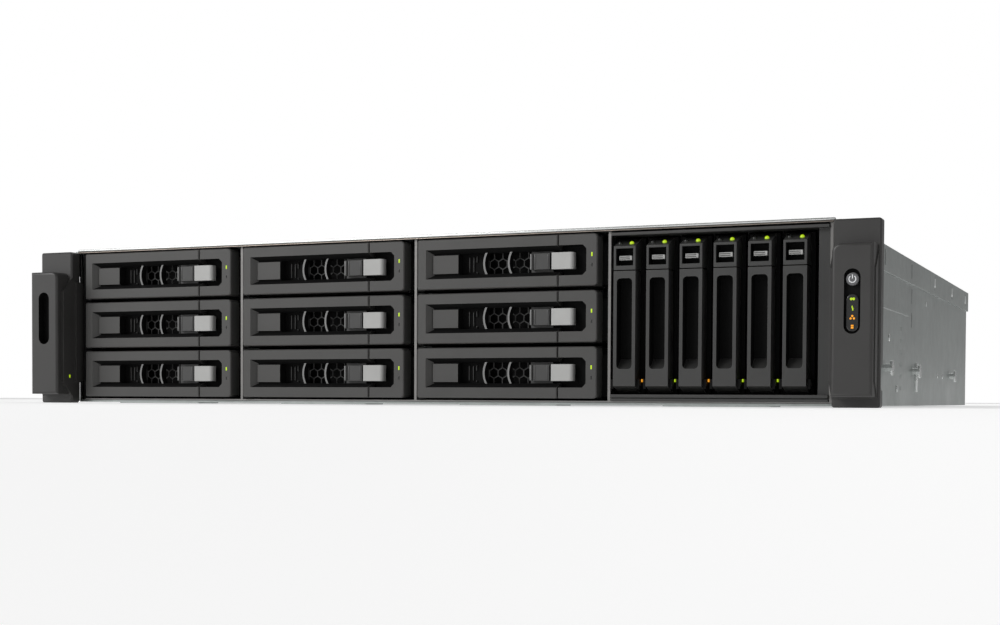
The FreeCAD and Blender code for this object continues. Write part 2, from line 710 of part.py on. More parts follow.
os.makedirs("parts", exist_ok=True)
chassis_pan()
front_cover()
rear_cover()
drive_cage()
ssd_frame()
left_ear()
right_ear()
power_button()
status_window()
rail_studs()
case_screws()
drive_backplane()
mainboard()
heatsink()
memory_modules()
fan_frames()
for number, fan_x in enumerate(fan_places, 1):
    fan_rotor("fan_rotor_%d" % number, fan_x)
for number in (1, 2):
    psu("psu_%d" % number, number - 1)
for column in range(columns):
    for row in range(rows):
        number = column * rows + (rows - 1 - row) + 1
        hdd_tray("hdd_tray_%d" % number, bezel_left(column), row_middle(row))
        hdd_lever("hdd_lever_%d" % number, bezel_left(column), row_middle(row))
        hdd_button("hdd_button_%d" % number, bezel_left(column), row_middle(row))
for number in range(1, small_count + 1):
    ssd_tray("ssd_tray_%d" % number, small_middle(number - 1))
    ssd_lever("ssd_lever_%d" % number, small_middle(number - 1))
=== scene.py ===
import json
import math

import bmesh
import bpy
from mathutils import Matrix, Vector


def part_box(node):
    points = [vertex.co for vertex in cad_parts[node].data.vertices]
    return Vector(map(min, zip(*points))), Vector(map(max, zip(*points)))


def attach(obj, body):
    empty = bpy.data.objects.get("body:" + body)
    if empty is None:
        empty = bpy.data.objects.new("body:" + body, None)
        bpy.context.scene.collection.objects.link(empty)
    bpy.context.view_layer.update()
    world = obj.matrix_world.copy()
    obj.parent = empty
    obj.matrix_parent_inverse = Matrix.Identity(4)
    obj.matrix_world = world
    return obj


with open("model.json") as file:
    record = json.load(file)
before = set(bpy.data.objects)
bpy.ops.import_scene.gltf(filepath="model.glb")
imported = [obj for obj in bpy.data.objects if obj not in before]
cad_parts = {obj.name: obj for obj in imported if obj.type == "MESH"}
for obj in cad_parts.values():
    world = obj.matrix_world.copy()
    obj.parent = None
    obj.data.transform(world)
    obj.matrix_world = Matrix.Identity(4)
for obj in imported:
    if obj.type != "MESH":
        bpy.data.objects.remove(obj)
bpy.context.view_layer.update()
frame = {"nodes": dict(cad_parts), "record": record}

MM = 0.001
COLUMNS = 3
ROWS = 3
SMALL_BAYS = 6


def low(node):
    """Lowest corner of a CAD node in millimetres."""
    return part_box(node)[0] / MM


def high(node):
    """Highest corner of a CAD node in millimetres."""
    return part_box(node)[1] / MM


# Depths count from the plane of the drive fronts, in millimetres.
FACE = low("hdd_lever_1").y
BACK = high("chassis_pan").y - FACE


def at(x, depth, z):
    """Place in metres of an x, depth and z in millimetres."""
    return Vector((x, FACE + depth, z)) * MM


# Materials

def shader(name, color, roughness, metallic=0.0, **sockets):
    """Principled material with its plain values set on the shader's own sockets."""
    material = bpy.data.materials.new(name)
    material.use_nodes = True
    tree = material.node_tree
    surface = tree.nodes["Principled BSDF"]
    surface.inputs["Base Color"].default_value = (*color, 1)
    surface.inputs["Roughness"].default_value = roughness
    surface.inputs["Metallic"].default_value = metallic
    for socket, value in sockets.items():
        surface.inputs[socket.replace("_", " ")].default_value = value
    return material, tree, surface


def millimetres(tree, stretch=(1, 1, 1)):
    """Object coordinates counted in millimetres, stretched along each axis."""
    coordinates = tree.nodes.new("ShaderNodeTexCoord")
    mapping = tree.nodes.new("ShaderNodeMapping")
    mapping.inputs["Scale"].default_value = [1 / MM / s for s in stretch]
    tree.links.new(coordinates.outputs["Object"], mapping.inputs["Vector"])
    return mapping.outputs["Vector"]


def noise(tree, vector, size, detail=2.0, rough=0.5):
    """Cloudy noise whose spots are about the given size."""
    texture = tree.nodes.new("ShaderNodeTexNoise")
    texture.inputs["Scale"].default_value = 1 / size
    texture.inputs["Detail"].default_value = detail
    texture.inputs["Roughness"].default_value = rough
    tree.links.new(vector, texture.inputs["Vector"])
    return texture.outputs["Fac"]


def spread(tree, value, lowest, highest, start=0.3, end=0.7):
    """A 0 to 1 value mapped to a range."""
    node = tree.nodes.new("ShaderNodeMapRange")
    node.inputs["From Min"].default_value = start
    node.inputs["From Max"].default_value = end
    node.inputs["To Min"].default_value = lowest
    node.inputs["To Max"].default_value = highest
    tree.links.new(value, node.inputs["Value"])
    return node.outputs["Result"]


def blend_colors(tree, factor, first, second):
    """Mix of two colours, where each is a colour or another node's output."""
    node = tree.nodes.new("ShaderNodeMix")
    node.data_type = "RGBA"
    tree.links.new(factor, node.inputs[0])
    for socket, color in ((node.inputs[6], first), (node.inputs[7], second)):
        if isinstance(color, bpy.types.NodeSocket):
            tree.links.new(color, socket)
        else:
            socket.default_value = (*color, 1)
    return node.outputs[2]


def bump(tree, surface, height, depth):
    """Surface relief, with its depth in millimetres."""
    node = tree.nodes.new("ShaderNodeBump")
    node.inputs["Distance"].default_value = depth * MM
    tree.links.new(height, node.inputs["Height"])
    tree.links.new(node.outputs["Normal"], surface.inputs["Normal"])


def edge_highlight_mask(tree, radius):
    """Near 1 on sharp corners, 0 on flat faces, for a painted highlight on the edges."""
    rounded = tree.nodes.new("ShaderNodeBevel")
    rounded.samples = 4
    rounded.inputs["Radius"].default_value = radius * MM
    geometry = tree.nodes.new("ShaderNodeNewGeometry")
    dot = tree.nodes.new("ShaderNodeVectorMath")
    dot.operation = "DOT_PRODUCT"
    tree.links.new(rounded.outputs["Normal"], dot.inputs[0])
    tree.links.new(geometry.outputs["True Normal"], dot.inputs[1])
    return spread(tree, dot.outputs["Value"], 1, 0, 0.75, 0.99)


def scaled(color, factor):
    """A colour made paler or darker."""
    return tuple(min(1, channel * factor) for channel in color)


def moulded(name, color, roughness, grain=0.35, depth=0.012, edge_highlight=1.5, **sockets):
    """Spark-eroded plastic: fine grain, cloudy handling marks and edges made paler as a painted
    highlight.
    """
    material, tree, surface = shader(name, color, roughness, **sockets)
    vector = millimetres(tree)
    cloud = noise(tree, vector, 22, 4, 0.6)
    tint = blend_colors(tree, cloud, scaled(color, 0.88), scaled(color, 1.12))
    # Paler edges: painted highlight where rounded edges would catch the light.
    edges = edge_highlight_mask(tree, 0.35)
    tint = blend_colors(tree, edges, tint, scaled(color, edge_highlight))
    tree.links.new(tint, surface.inputs["Base Color"])
    gloss = spread(tree, cloud, roughness - 0.05, roughness + 0.07)
    tree.links.new(gloss, surface.inputs["Roughness"])
    bump(tree, surface, noise(tree, vector, grain, 3, 0.65), depth)
    return material


def zinc(name, color, roughness, spangle=5.0, stretch=(1, 1, 1)):
    """Galvanised sheet: faint crystal spangle, rolling lines and dull smudges."""
    material, tree, surface = shader(name, color, roughness, 1.0)
    vector = millimetres(tree)
    cells = tree.nodes.new("ShaderNodeTexVoronoi")
    cells.inputs["Scale"].default_value = 1 / spangle
    tree.links.new(vector, cells.inputs["Vector"])
    split = tree.nodes.new("ShaderNodeSeparateColor")
    tree.links.new(cells.outputs["Color"], split.inputs["Color"])
    crystal = blend_colors(tree, split.outputs["Red"], scaled(color, 0.95), scaled(color, 1.06))
    smudge = noise(tree, vector, 60, 5, 0.6)
    tint = blend_colors(tree, spread(tree, smudge, 0, 0.35), crystal, scaled(color, 0.78))
    tree.links.new(tint, surface.inputs["Base Color"])
    gloss = spread(tree, smudge, roughness - 0.05, roughness + 0.12)
    tree.links.new(gloss, surface.inputs["Roughness"])
    bump(tree, surface, noise(tree, millimetres(tree, stretch), 0.5, 2, 0.5), 0.01)
    return material


def glowing(name, color, strength):
    """Light pipe: a bright core that fades a little towards its rim."""
    material, tree, surface = shader(name, scaled(color, 0.6), 0.25)
    facing = tree.nodes.new("ShaderNodeLayerWeight")
    facing.inputs["Blend"].default_value = 0.35
    tint = blend_colors(tree, facing.outputs["Facing"], color, scaled(color, 0.55))
    tree.links.new(tint, surface.inputs["Emission Color"])
    surface.inputs["Emission Strength"].default_value = strength
    bump(tree, surface, noise(tree, millimetres(tree), 0.3), 0.004)
    return material


def board(name, color):
    """Printed board: solder mask with brick-like copper tracks and round pads."""
    material, tree, surface = shader(name, color, 0.35, Coat_Weight=0.4)
    vector = millimetres(tree)
    tracks = tree.nodes.new("ShaderNodeTexBrick")
    tracks.inputs["Scale"].default_value = 0.35
    tracks.inputs["Mortar Size"].default_value = 0.04
    tracks.inputs["Color1"].default_value = (*color, 1)
    tracks.inputs["Color2"].default_value = (*scaled(color, 0.8), 1)
    tracks.inputs["Mortar"].default_value = (*scaled(color, 1.9), 1)
    tree.links.new(vector, tracks.inputs["Vector"])
    specks = tree.nodes.new("ShaderNodeTexVoronoi")
    specks.inputs["Scale"].default_value = 0.16
    tree.links.new(vector, specks.inputs["Vector"])
    pads = spread(tree, specks.outputs["Distance"], 1, 0, 0.12, 0.16)
    tint = blend_colors(tree, pads, tracks.outputs["Color"], (0.55, 0.52, 0.42))
    tree.links.new(tint, surface.inputs["Base Color"])
    bump(tree, surface, tracks.outputs["Fac"], 0.03)
    return material


CHARCOAL = (0.050, 0.049, 0.047)
looks = {
    "charcoal": moulded("charcoal", CHARCOAL, 0.40, edge_highlight=2.6),
    "ear": moulded("ear", (0.031, 0.030, 0.029), 0.42, grain=0.5, depth=0.02, edge_highlight=2.0),
    "ssd_front": moulded("ssd_front", (0.034, 0.034, 0.033), 0.42, edge_highlight=2.4),
    # Black serves the black plastic parts and also the painted shade in pockets, gaps and
    # recesses.
    "black": moulded("black", (0.006, 0.006, 0.006), 0.6, edge_highlight=2.2, Specular_IOR_Level=0.08),
    # Pale grey for the vanes' front faces and the lock's edge strip: painted highlight.
    "vane_highlight": moulded("vane_highlight", (0.20, 0.20, 0.198), 0.35),
    "slider": moulded("slider", (0.045, 0.045, 0.044), 0.38, edge_highlight=2.0),
    "comb": moulded("comb", (0.060, 0.060, 0.059), 0.4, Specular_IOR_Level=0.3),
    "release": moulded("release", (0.40, 0.40, 0.39), 0.38, grain=0.3, depth=0.006, edge_highlight=1.25),
    "latch": moulded("latch", (0.42, 0.42, 0.41), 0.4, edge_highlight=1.3),
    "power": moulded("power", (0.11, 0.11, 0.115), 0.32, depth=0.004),
    "window": moulded("window", (0.010, 0.010, 0.010), 0.12, depth=0.001, Coat_Weight=0.6),
    "zinc": zinc("zinc", (0.40, 0.425, 0.415), 0.36),
    "bright": zinc("bright", (0.80, 0.82, 0.81), 0.22, spangle=2.0),
    "alloy": zinc("alloy", (0.62, 0.63, 0.64), 0.32, spangle=1.5, stretch=(1, 12, 1)),
    "drive_metal": zinc("drive_metal", (0.42, 0.43, 0.44), 0.36, spangle=3.0),
    "psu_case": zinc("psu_case", (0.48, 0.50, 0.49), 0.36, spangle=4.0),
    "divider": zinc("divider", (0.22, 0.215, 0.21), 0.4, spangle=2.0),
    "cover_edge": moulded("cover_edge", (0.030, 0.027, 0.025), 0.45, depth=0.006),
    "raw_edge": zinc("raw_edge", (0.50, 0.43, 0.37), 0.35, spangle=1.5),
    "gold": zinc("gold", (0.85, 0.62, 0.22), 0.25, spangle=1.0),
    "board": board("board", (0.012, 0.065, 0.028)),
    "led_green": glowing("led_green", (0.42, 0.62, 0.01), 0.75),
    "led_amber": glowing("led_amber", (0.85, 0.33, 0.01), 0.8),
    "led_dark": moulded("led_dark", (0.012, 0.013, 0.012), 0.15, depth=0.002),
    "symbol": moulded("symbol", (0.72, 0.73, 0.74), 0.4, depth=0.003, edge_highlight=1.1),
}

# The look that each of the record's material slots starts with.
slot_looks = {
    "zinc_steel": "zinc",
    "bright_steel": "bright",
    "charcoal_plastic": "charcoal",
    "black_plastic": "black",
    "grey_plastic": "release",
    "button_plastic": "power",
    "smoked_window": "window",
    "circuit_board": "board",
    "heatsink_aluminium": "alloy",
    "psu_case": "psu_case",
}


# Carried-over CAD nodes

SAME_POINT = 1e-6
SHARP = math.radians(32)


def soften(node, width):
    """Rounds a CAD node's sharp edges a little, so that they catch the light."""
    piece = frame["nodes"][node]
    mesh = piece.data
    if "custom_normal" in mesh.attributes:
        mesh.attributes.remove(mesh.attributes["custom_normal"])
    mesh.polygons.foreach_set("use_smooth", [True] * len(mesh.polygons))
    weld = piece.modifiers.new("weld", "WELD")
    weld.merge_threshold = SAME_POINT
    bevel = piece.modifiers.new("edges", "BEVEL")
    bevel.width = width * MM
    bevel.segments = 2
    bevel.limit_method = "ANGLE"
    bevel.angle_limit = SHARP
    normals = piece.modifiers.new("normals", "WEIGHTED_NORMAL")
    normals.keep_sharp = True


def dress(node, look):
    """One material over a whole CAD node."""
    mesh = frame["nodes"][node].data
    mesh.materials.clear()
    mesh.materials.append(looks[look])
    mesh.polygons.foreach_set("material_index", [0] * len(mesh.polygons))


def paint(node, look, test):
    """A second material on the faces whose centre (x, depth, z in millimetres) passes a test."""
    mesh = frame["nodes"][node].data
    mesh.materials.append(looks[look])
    index = len(mesh.materials) - 1
    for polygon in mesh.polygons:
        x, y, z = polygon.center / MM
        if test(x, y - FACE, z):
            polygon.material_index = index


slots = {part["node"]: part["material_slot"] for part in frame["record"]["subparts"]}
for node in frame["nodes"]:
    dress(node, slot_looks[slots[node]])


# Mesh pieces

def piece(name, builder, look, body, origin=(0, 0, 0)):
    """Object from a bmesh or a shared mesh, riding on a body."""
    if isinstance(builder, bpy.types.Mesh):
        mesh = builder
    else:
        mesh = bpy.data.meshes.new(name)
        builder.to_mesh(mesh)
        builder.free()
        mesh.polygons.foreach_set("use_smooth", [True] * len(mesh.polygons))
        mesh.materials.append(looks[look])
    new = bpy.data.objects.new(name, mesh)
    bpy.context.scene.collection.objects.link(new)
    new.location = origin
    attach(new, body)
    return new


def rounded_box(x0, x1, y0, y1, z0, z1, radius, segments=2):
    """Box in millimetres with every edge rounded."""
    mesh = bmesh.new()
    bmesh.ops.create_cube(mesh, size=1)
    size = Vector((x1 - x0, y1 - y0, z1 - z0))
    centre = Vector((x0 + x1, y0 + y1, z0 + z1)) / 2
    for vertex in mesh.verts:
        vertex.co = Vector(a * b for a, b in zip(vertex.co, size)) + centre
    bmesh.ops.bevel(mesh, geom=mesh.edges[:], offset=radius, segments=segments,
                    profile=0.5, affect="EDGES")
    return mesh


def lathe(profile, centre, axis, steps=32):
    """Profile of (radius, height) pairs turned about an axis through centre, in millimetres."""
    mesh = bmesh.new()
    turn = Vector((0, 0, 1)).rotation_difference(Vector(axis)).to_matrix()
    rings = []
    for radius, height in profile:
        ring = []
        for step in range(steps):
            angle = 2 * math.pi * step / steps
            local = Vector((radius * math.cos(angle), radius * math.sin(angle), height))
            ring.append(mesh.verts.new(turn @ local + Vector(centre)))
        rings.append(ring)
    for first, second in zip(rings, rings[1:]):
        for step in range(steps):
            after = (step + 1) % steps
            mesh.faces.new((first[step], first[after], second[after], second[step]))
    mesh.faces.new(rings[0][::-1])
    mesh.faces.new(rings[-1])
    return mesh


def in_frame(mesh, origin=(0, 0, 0)):
    """Moves a bmesh from millimetres about an origin to metres in the CAD frame."""
    shift = Vector(origin)
    for vertex in mesh.verts:
        vertex.co = at(*(vertex.co + shift))
    return mesh


def merged(parts):
    """Several bmeshes joined into one."""
    whole = bmesh.new()
    for part in parts:
        mesh = bpy.data.meshes.new("part")
        part.to_mesh(mesh)
        part.free()
        whole.from_mesh(mesh)
        bpy.data.meshes.remove(mesh)
    return whole


def local(mesh):
    """Millimetres to metres about the piece's own origin."""
    for vertex in mesh.verts:
        vertex.co = vertex.co * MM
    return mesh


def honeycomb(width, height, cell, bar, thickness):
    """Six-sided openings in a plate, cut to a rectangle about the origin."""
    mesh = bmesh.new()
    outer = cell / math.sqrt(3)
    inner = (cell - bar) / math.sqrt(3)
    across = math.ceil(width / cell) + 2
    up = math.ceil(height / (outer * 1.5)) + 2
    for row in range(-up, up + 1):
        for column in range(-across, across + 1):
            middle = Vector(((column + (row % 2) / 2) * cell, 0, row * outer * 1.5))
            loops = []
            for radius in (outer, inner):
                corners = [Vector((radius * math.sin(angle), 0, radius * math.cos(angle)))
                           for angle in (math.pi / 3 * k for k in range(6))]
                loops.append([mesh.verts.new(middle + corner) for corner in corners])
            for k in range(6):
                n = (k + 1) % 6
                mesh.faces.new((loops[0][k], loops[0][n], loops[1][n], loops[1][k]))
    bmesh.ops.remove_doubles(mesh, verts=mesh.verts[:], dist=0.01)
    for normal, limit in (((1, 0, 0), width / 2), ((0, 0, 1), height / 2)):
        for side in (-1, 1):
            edge = Vector(normal) * side
            bmesh.ops.bisect_plane(mesh, geom=mesh.verts[:] + mesh.edges[:] + mesh.faces[:],
                                   plane_co=edge * limit, plane_no=edge, clear_outer=True)
    bmesh.ops.solidify(mesh, geom=mesh.faces[:], thickness=thickness)
    bmesh.ops.recalc_face_normals(mesh, faces=mesh.faces[:])
    return mesh


# Large trays

# Spans along a large tray's front, from the left edge of its lever.
POCKET_END = 94.8
LEVER_WINDOW = (8.6, 79.4)
FINGER_BLOCK = (8.6, 23.2)
VANES = ((37.0, 39.6), (50.8, 53.4))
SLIDER = (63.4, 74.2)
VENT = (38.1, 62.6)
LIGHTS = 97.6
DRIVE = (1.7, 103.3)
# Heights from the middle of its front, and depths.
POCKET_HALF = 7.65
BEZEL_HALF = 13.05
DRIVE_HALF = 12.75
SURFACE = 0.1
BEZEL_BACK = 8.3
PLATE_BACK = 10.2
DRIVE_FRONT = 14.1
LEVER_BACK = 7.9
COMB_DEPTH = 9.4


def tray_marks(number):
    """Left edge and middle height of a large tray's front."""
    lever = "hdd_lever_%d" % number
    return low(lever).x, (low(lever).z + high(lever).z) / 2


def within(value, span):
    return span[0] < value < span[1]


comb = local(honeycomb(VENT[1] - VENT[0] + 0.4, 11.4, 4.8, 0.42, 0.7))
comb_mesh = bpy.data.meshes.new("honeycomb")
comb.to_mesh(comb_mesh)
comb.free()
comb_mesh.materials.append(looks["comb"])


def paint_tray(tray, left, middle):
    """Bezel, zinc carrier and the drive in it, with black painted shade in the pocket, in the gaps
    and on the drive's front.
    """
    def rise(z):
        return abs(z - middle)

    # Painted shade: black on the faces behind the bezel, on its top and bottom in the gaps between
    # rows, and inside its pocket.
    paint(tray, "black", lambda x, y, z: y > BEZEL_BACK or rise(z) > BEZEL_HALF
          or (y > SURFACE and rise(z) < POCKET_HALF and x < left + POCKET_END))
    paint(tray, "zinc", lambda x, y, z: y > PLATE_BACK)
    paint(tray, "drive_metal", lambda x, y, z: y > DRIVE_FRONT and rise(z) < DRIVE_HALF
          and within(x - left, DRIVE))
    # Painted shade: the drive's front seen through the vent painted black.
    paint(tray, "black", lambda x, y, z: within(y, (13.9, DRIVE_FRONT)))


def paint_lever(lever, left, middle):
    """Window and back faces painted black as painted shade, finger block, two vanes made pale as a
    painted highlight, and the lock slider.
    """
    def rise(z):
        return abs(z - middle)

    # Painted shade: black on the back faces and inside the window.
    paint(lever, "black", lambda x, y, z: y > LEVER_BACK
          or (y > SURFACE and rise(z) < POCKET_HALF and within(x - left, LEVER_WINDOW)))
    paint(lever, "charcoal", lambda x, y, z: within(y, (2.2, 2.6)) and rise(z) < 5
          and within(x - left, FINGER_BLOCK))
    # Vane fronts made pale: painted highlight.
    paint(lever, "vane_highlight", lambda x, y, z: within(y, (2.7, 2.9)) and rise(z) < 5.5
          and any(within(x - left, span) for span in VANES))
    paint(lever, "slider", lambda x, y, z: within(y, (2.1, 6.45)) and rise(z) < 4.05
          and within(x - left, SLIDER))


def finish_tray(number):
    """Colours, rounded edges, lights and small mouldings of one large tray."""
    left, middle = tray_marks(number)
    tray = "hdd_tray_%d" % number
    lever = "hdd_lever_%d" % number
    paint_tray(tray, left, middle)
    paint_lever(lever, left, middle)
    soften(tray, 0.2)
    soften(lever, 0.3)
    soften("hdd_button_%d" % number, 0.3)

    corner = (left, 0, middle)
    piece("honeycomb_%d" % number, comb_mesh, "comb", tray,
          at(left + sum(VENT) / 2, COMB_DEPTH, middle))
    lamp = rounded_box(-0.4, 0.4, -0.12, 0.6, -1.0, 1.0, 0.15)
    piece("activity_light_%d" % number, in_frame(lamp, (left + LIGHTS, 0, middle + 2.6)),
          "led_green", tray)
    lamp = rounded_box(-0.35, 0.35, -0.12, 0.6, -0.9, 0.9, 0.15)
    piece("fault_light_%d" % number, in_frame(lamp, (left + LIGHTS, 0, middle - 2.6)),
          "led_dark", tray)
    fins = ((27.2, -3.8, 3.8), (29.6, -3.8, 3.8), (31.4, 1.2, 4.2), (31.4, -4.6, -3.8))
    parts = [rounded_box(x - 0.2, x + 0.2, 7.6, 8.6, z0, z1, 0.08) for x, z0, z1 in fins]
    piece("vent_fins_%d" % number, in_frame(merged(parts), corner), "slider", tray)
    ridges = [rounded_box(x, x + 0.9, 2.0, 2.7, -3.7, 3.7, 0.25) for x in (65.8, 72.8)]
    piece("lock_ridges_%d" % number, in_frame(merged(ridges), corner), "slider", lever)
    # Pale strip along the lock slider's left edge: painted highlight on a small ridge.
    rim = rounded_box(0, 0.7, 1.95, 2.45, -3.8, 3.8, 0.2)
    piece("lock_edge_highlight_%d" % number, in_frame(rim, (left + 63.6, 0, middle)), "vane_highlight", lever)


for number in range(1, COLUMNS * ROWS + 1):
    finish_tray(number)


# Small trays

SMALL_TOP = 79.4
LATCH_WINDOW = (69, 78.2)
LATCH = (72.1, 74.4)
GRIP = (18.2, 63.4)
GRIP_RAMP = (18.5, 23.4)
LAMP_DEPTH = 3.4
LAMP_HEIGHT = 80.5
SLOPE_NORMAL = (0, -0.40, 0.916)


def paint_small_bay(tray, lever, middle):
    """Latch window, finger slot and deep faces painted black as painted shade, the lugs below in
    the same black, pale latch, and the drive behind the head.
    """
    def off(x):
        return abs(x - middle)

    dress(tray, "ssd_front")
    dress(lever, "ssd_front")
    # Painted shade: black on the deep faces and inside the latch window; the lugs below z 20 take
    # the same black.
    paint(tray, "black", lambda x, y, z: y > 9.9 or z < 20
          or (y > 0.3 and off(x) < 4.5 and within(z, LATCH_WINDOW)))
    paint(tray, "latch", lambda x, y, z: within(y, (1.4, 5)) and off(x) < 3.4 and within(z, LATCH))
    paint(tray, "drive_metal", lambda x, y, z: y > 12.9 and off(x) < 4.8
          and within(z, (9.3, SMALL_TOP)))
    # Painted shade: black inside the finger slot.
    paint(lever, "black", lambda x, y, z: y > 0.3 and off(x) < 4.1 and within(z, GRIP))
    paint(lever, "ssd_front", lambda x, y, z: y > 1.3 and off(x) < 3.9 and within(z, GRIP_RAMP))


def finish_small_tray(number):
    """Colours, rounded edges, lights and latch of one small tray. Returns its middle."""
    tray = "ssd_tray_%d" % number
    lever = "ssd_lever_%d" % number
    middle = (low(tray).x + high(tray).x) / 2
    paint_small_bay(tray, lever, middle)
    soften(tray, 0.2)
    soften(lever, 0.35)

    profile = [(0.05, 1.12), (0.45, 1.05), (0.85, 0.78), (1.08, 0.35), (1.15, -0.2), (1.15, -1.0)]
    for name, look, offset in (("active", "led_green", 2.6), ("spare", "led_dark", -3.4)):
        dome = lathe(profile, (middle + offset, LAMP_DEPTH, LAMP_HEIGHT), SLOPE_NORMAL, 24)
        piece("%s_light_%d" % (name, number), in_frame(dome), look, tray)
    ridges = [rounded_box(middle - 2.9, middle + 2.2, 1.2, 1.7, z, z + 0.35, 0.1)
              for z in (72.6, 73.5)]
    piece("latch_ridges_%d" % number, in_frame(merged(ridges)), "slider", tray)
    return middle


for number in range(1, SMALL_BAYS + 1):
    tray_middle = finish_small_tray(number)
    if number < SMALL_BAYS:
        pipe = rounded_box(tray_middle + 8.15, tray_middle + 8.7, 2.6, 9.8, 12.0, 13.4, 0.15)
        piece("slot_light_%d" % number, in_frame(pipe),
              "led_amber" if number in (1, 3) else "led_green", "chassis")

dress("ssd_frame", "ssd_front")
# Painted shade: the frame's deep faces painted black.
paint("ssd_frame", "black", lambda x, y, z: y > 11)
soften("ssd_frame", 0.25)


# Ears, power button and status lights

RECESS_X = 230.2
RECESS = (33.5, 63.4)
RECESS_FRONT = -15.9


def finish_ear(ear, side, recess_back):
    """Ear plastic, with the walls of its long recess painted black as painted shade."""
    dress(ear, "ear")
    soften(ear, 0.4)
    # Painted shade: black on the walls of the recess.
    paint(ear, "black", lambda x, y, z: within(y, (RECESS_FRONT, recess_back))
          and abs(x - side * RECESS_X) < 3.8 and within(z, RECESS))


finish_ear("left_ear", -1, -10.9)
finish_ear("right_ear", 1, -8.9)
soften("power_button", 0.1)
soften("status_window", 0.3)

BUTTON = (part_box("power_button")[0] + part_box("power_button")[1]) / 2 / MM
BUTTON_FRONT = low("power_button").y - FACE


def arc_bar(radius, thickness, start, end, depth, steps=28):
    """Flat ring segment facing the front, angles in degrees from straight up."""
    mesh = bmesh.new()
    rows = []
    for step in range(steps + 1):
        angle = math.radians(start + (end - start) * step / steps)
        outward = Vector((math.sin(angle), 0, math.cos(angle)))
        section = ((radius - thickness, 0), (radius - thickness, -depth),
                   (radius + thickness, -depth), (radius + thickness, 0))
        rows.append([mesh.verts.new(outward * r + Vector((0, y, 0))) for r, y in section])
    for first, second in zip(rows, rows[1:]):
        for k in range(4):
            n = (k + 1) % 4
            mesh.faces.new((first[k], first[n], second[n], second[k]))
    mesh.faces.new(rows[0])
    mesh.faces.new(rows[-1][::-1])
    bmesh.ops.recalc_face_normals(mesh, faces=mesh.faces[:])
    return mesh


def power_symbol():
    """Broken ring and bar on the power button."""
    ring = arc_bar(1.55, 0.22, 35, 325, 0.14)
    bar = rounded_box(-0.22, 0.22, -0.14, 0, 0.2, 2.1, 0.05)
    piece("power_symbol", in_frame(merged([ring, bar]), (BUTTON.x, BUTTON_FRONT, BUTTON.z)),
          "symbol", "power_button")


def disc(x, z, radius, depth=0.14):
    """Thin round mark facing the front."""
    profile = [(radius, 0), (radius, depth * 0.7), (radius - 0.06, depth)]
    return lathe(profile, (x, 0, z), (0, -1, 0), 16)


def status_icons():
    """Four generic marks behind the smoked window: drives, power, network and expansion."""
    window_low = low("status_window")
    window_high = high("status_window")
    front = window_low.y - FACE
    pitch = (window_high.z - window_low.z) / 4
    marks = {
        "drives": ("led_green", [disc(-0.55, 0, 0.62), disc(0.55, 0, 0.62)]),
        "power": ("led_green", [rounded_box(-0.35, 0.15, -0.14, 0, 0, 1.1, 0.05),
                                rounded_box(-0.1, 0.45, -0.14, 0, -1.1, 0.15, 0.05)]),
        "network": ("led_amber", [disc(0, 0.65, 0.5), disc(-0.75, -0.45, 0.5),
                                  disc(0.75, -0.45, 0.5)]),
        "expansion": ("led_amber", [rounded_box(-0.6, 0.6, -0.14, 0, 0.1, 0.85, 0.1),
                                    rounded_box(-0.6, 0.6, -0.14, 0, -0.85, -0.1, 0.1)]),
    }
    for index, (name, (look, parts)) in enumerate(marks.items()):
        place = (BUTTON.x, front, window_high.z - pitch * (index + 0.5))
        piece("status_" + name, in_frame(merged(parts), place), look, "chassis")


power_symbol()
status_icons()
piece("left_ear_light", in_frame(rounded_box(-219.5, -219.0, -7.4, -6.4, 14.5, 16.2, 0.1)),
      "led_green", "chassis")


# Case

edge_widths = {
    "chassis_pan": 0.12, "front_cover": 0.25, "rear_cover": 0.25, "drive_cage": 0.1,
    "case_screws": 0.15, "rail_studs": 0.2, "psu_1": 0.25, "psu_2": 0.25,
    "heatsink": 0.1, "fan_frames": 0.3, "mainboard": 0.1, "memory_modules": 0.1,
}
for node, width in edge_widths.items():
    soften(node, width)
paint("drive_cage", "divider", lambda x, y, z: y < 2.45 and x > -200)
# Painted shade: the cage's left end beside the ear and its top behind the upper bezels painted
# black.
paint("drive_cage", "black", lambda x, y, z: x < -200 or (z > 80 and y > 13))
# Painted shade: the front corners of the pan's side walls, in the gaps behind the ears, painted
# black.
paint("chassis_pan", "black", lambda x, y, z: y < 4.05 and abs(x) > 215)
paint("front_cover", "cover_edge", lambda x, y, z: y < 0.55)
piece("cover_hem", in_frame(rounded_box(-219, 219, 0.4, 2.8, 87.6, 88.8, 0.35)),
      "bright", "chassis")
piece("cover_front_edge", in_frame(rounded_box(-219, 219, 0.35, 0.6, 86.85, 87.15, 0.08)),
      "raw_edge", "chassis")
paint("rear_cover", "bright", lambda x, y, z: y > BACK + 1.35)
paint("mainboard", "psu_case", lambda x, y, z: y > BACK - 30 and z > 8.7)
paint("mainboard", "black", lambda x, y, z: BACK - 14.5 < y < BACK - 0.4 and 9.0 < z < 22)
for node in ("psu_1", "psu_2"):
    paint(node, "black", lambda x, y, z: y > BACK + 0.5)

CASE_SIDE = high("chassis_pan").x
LIP_SIDE = high("front_cover").x
JACKS = 4
FIRST_JACK = -195.5
JACK_PITCH = 16


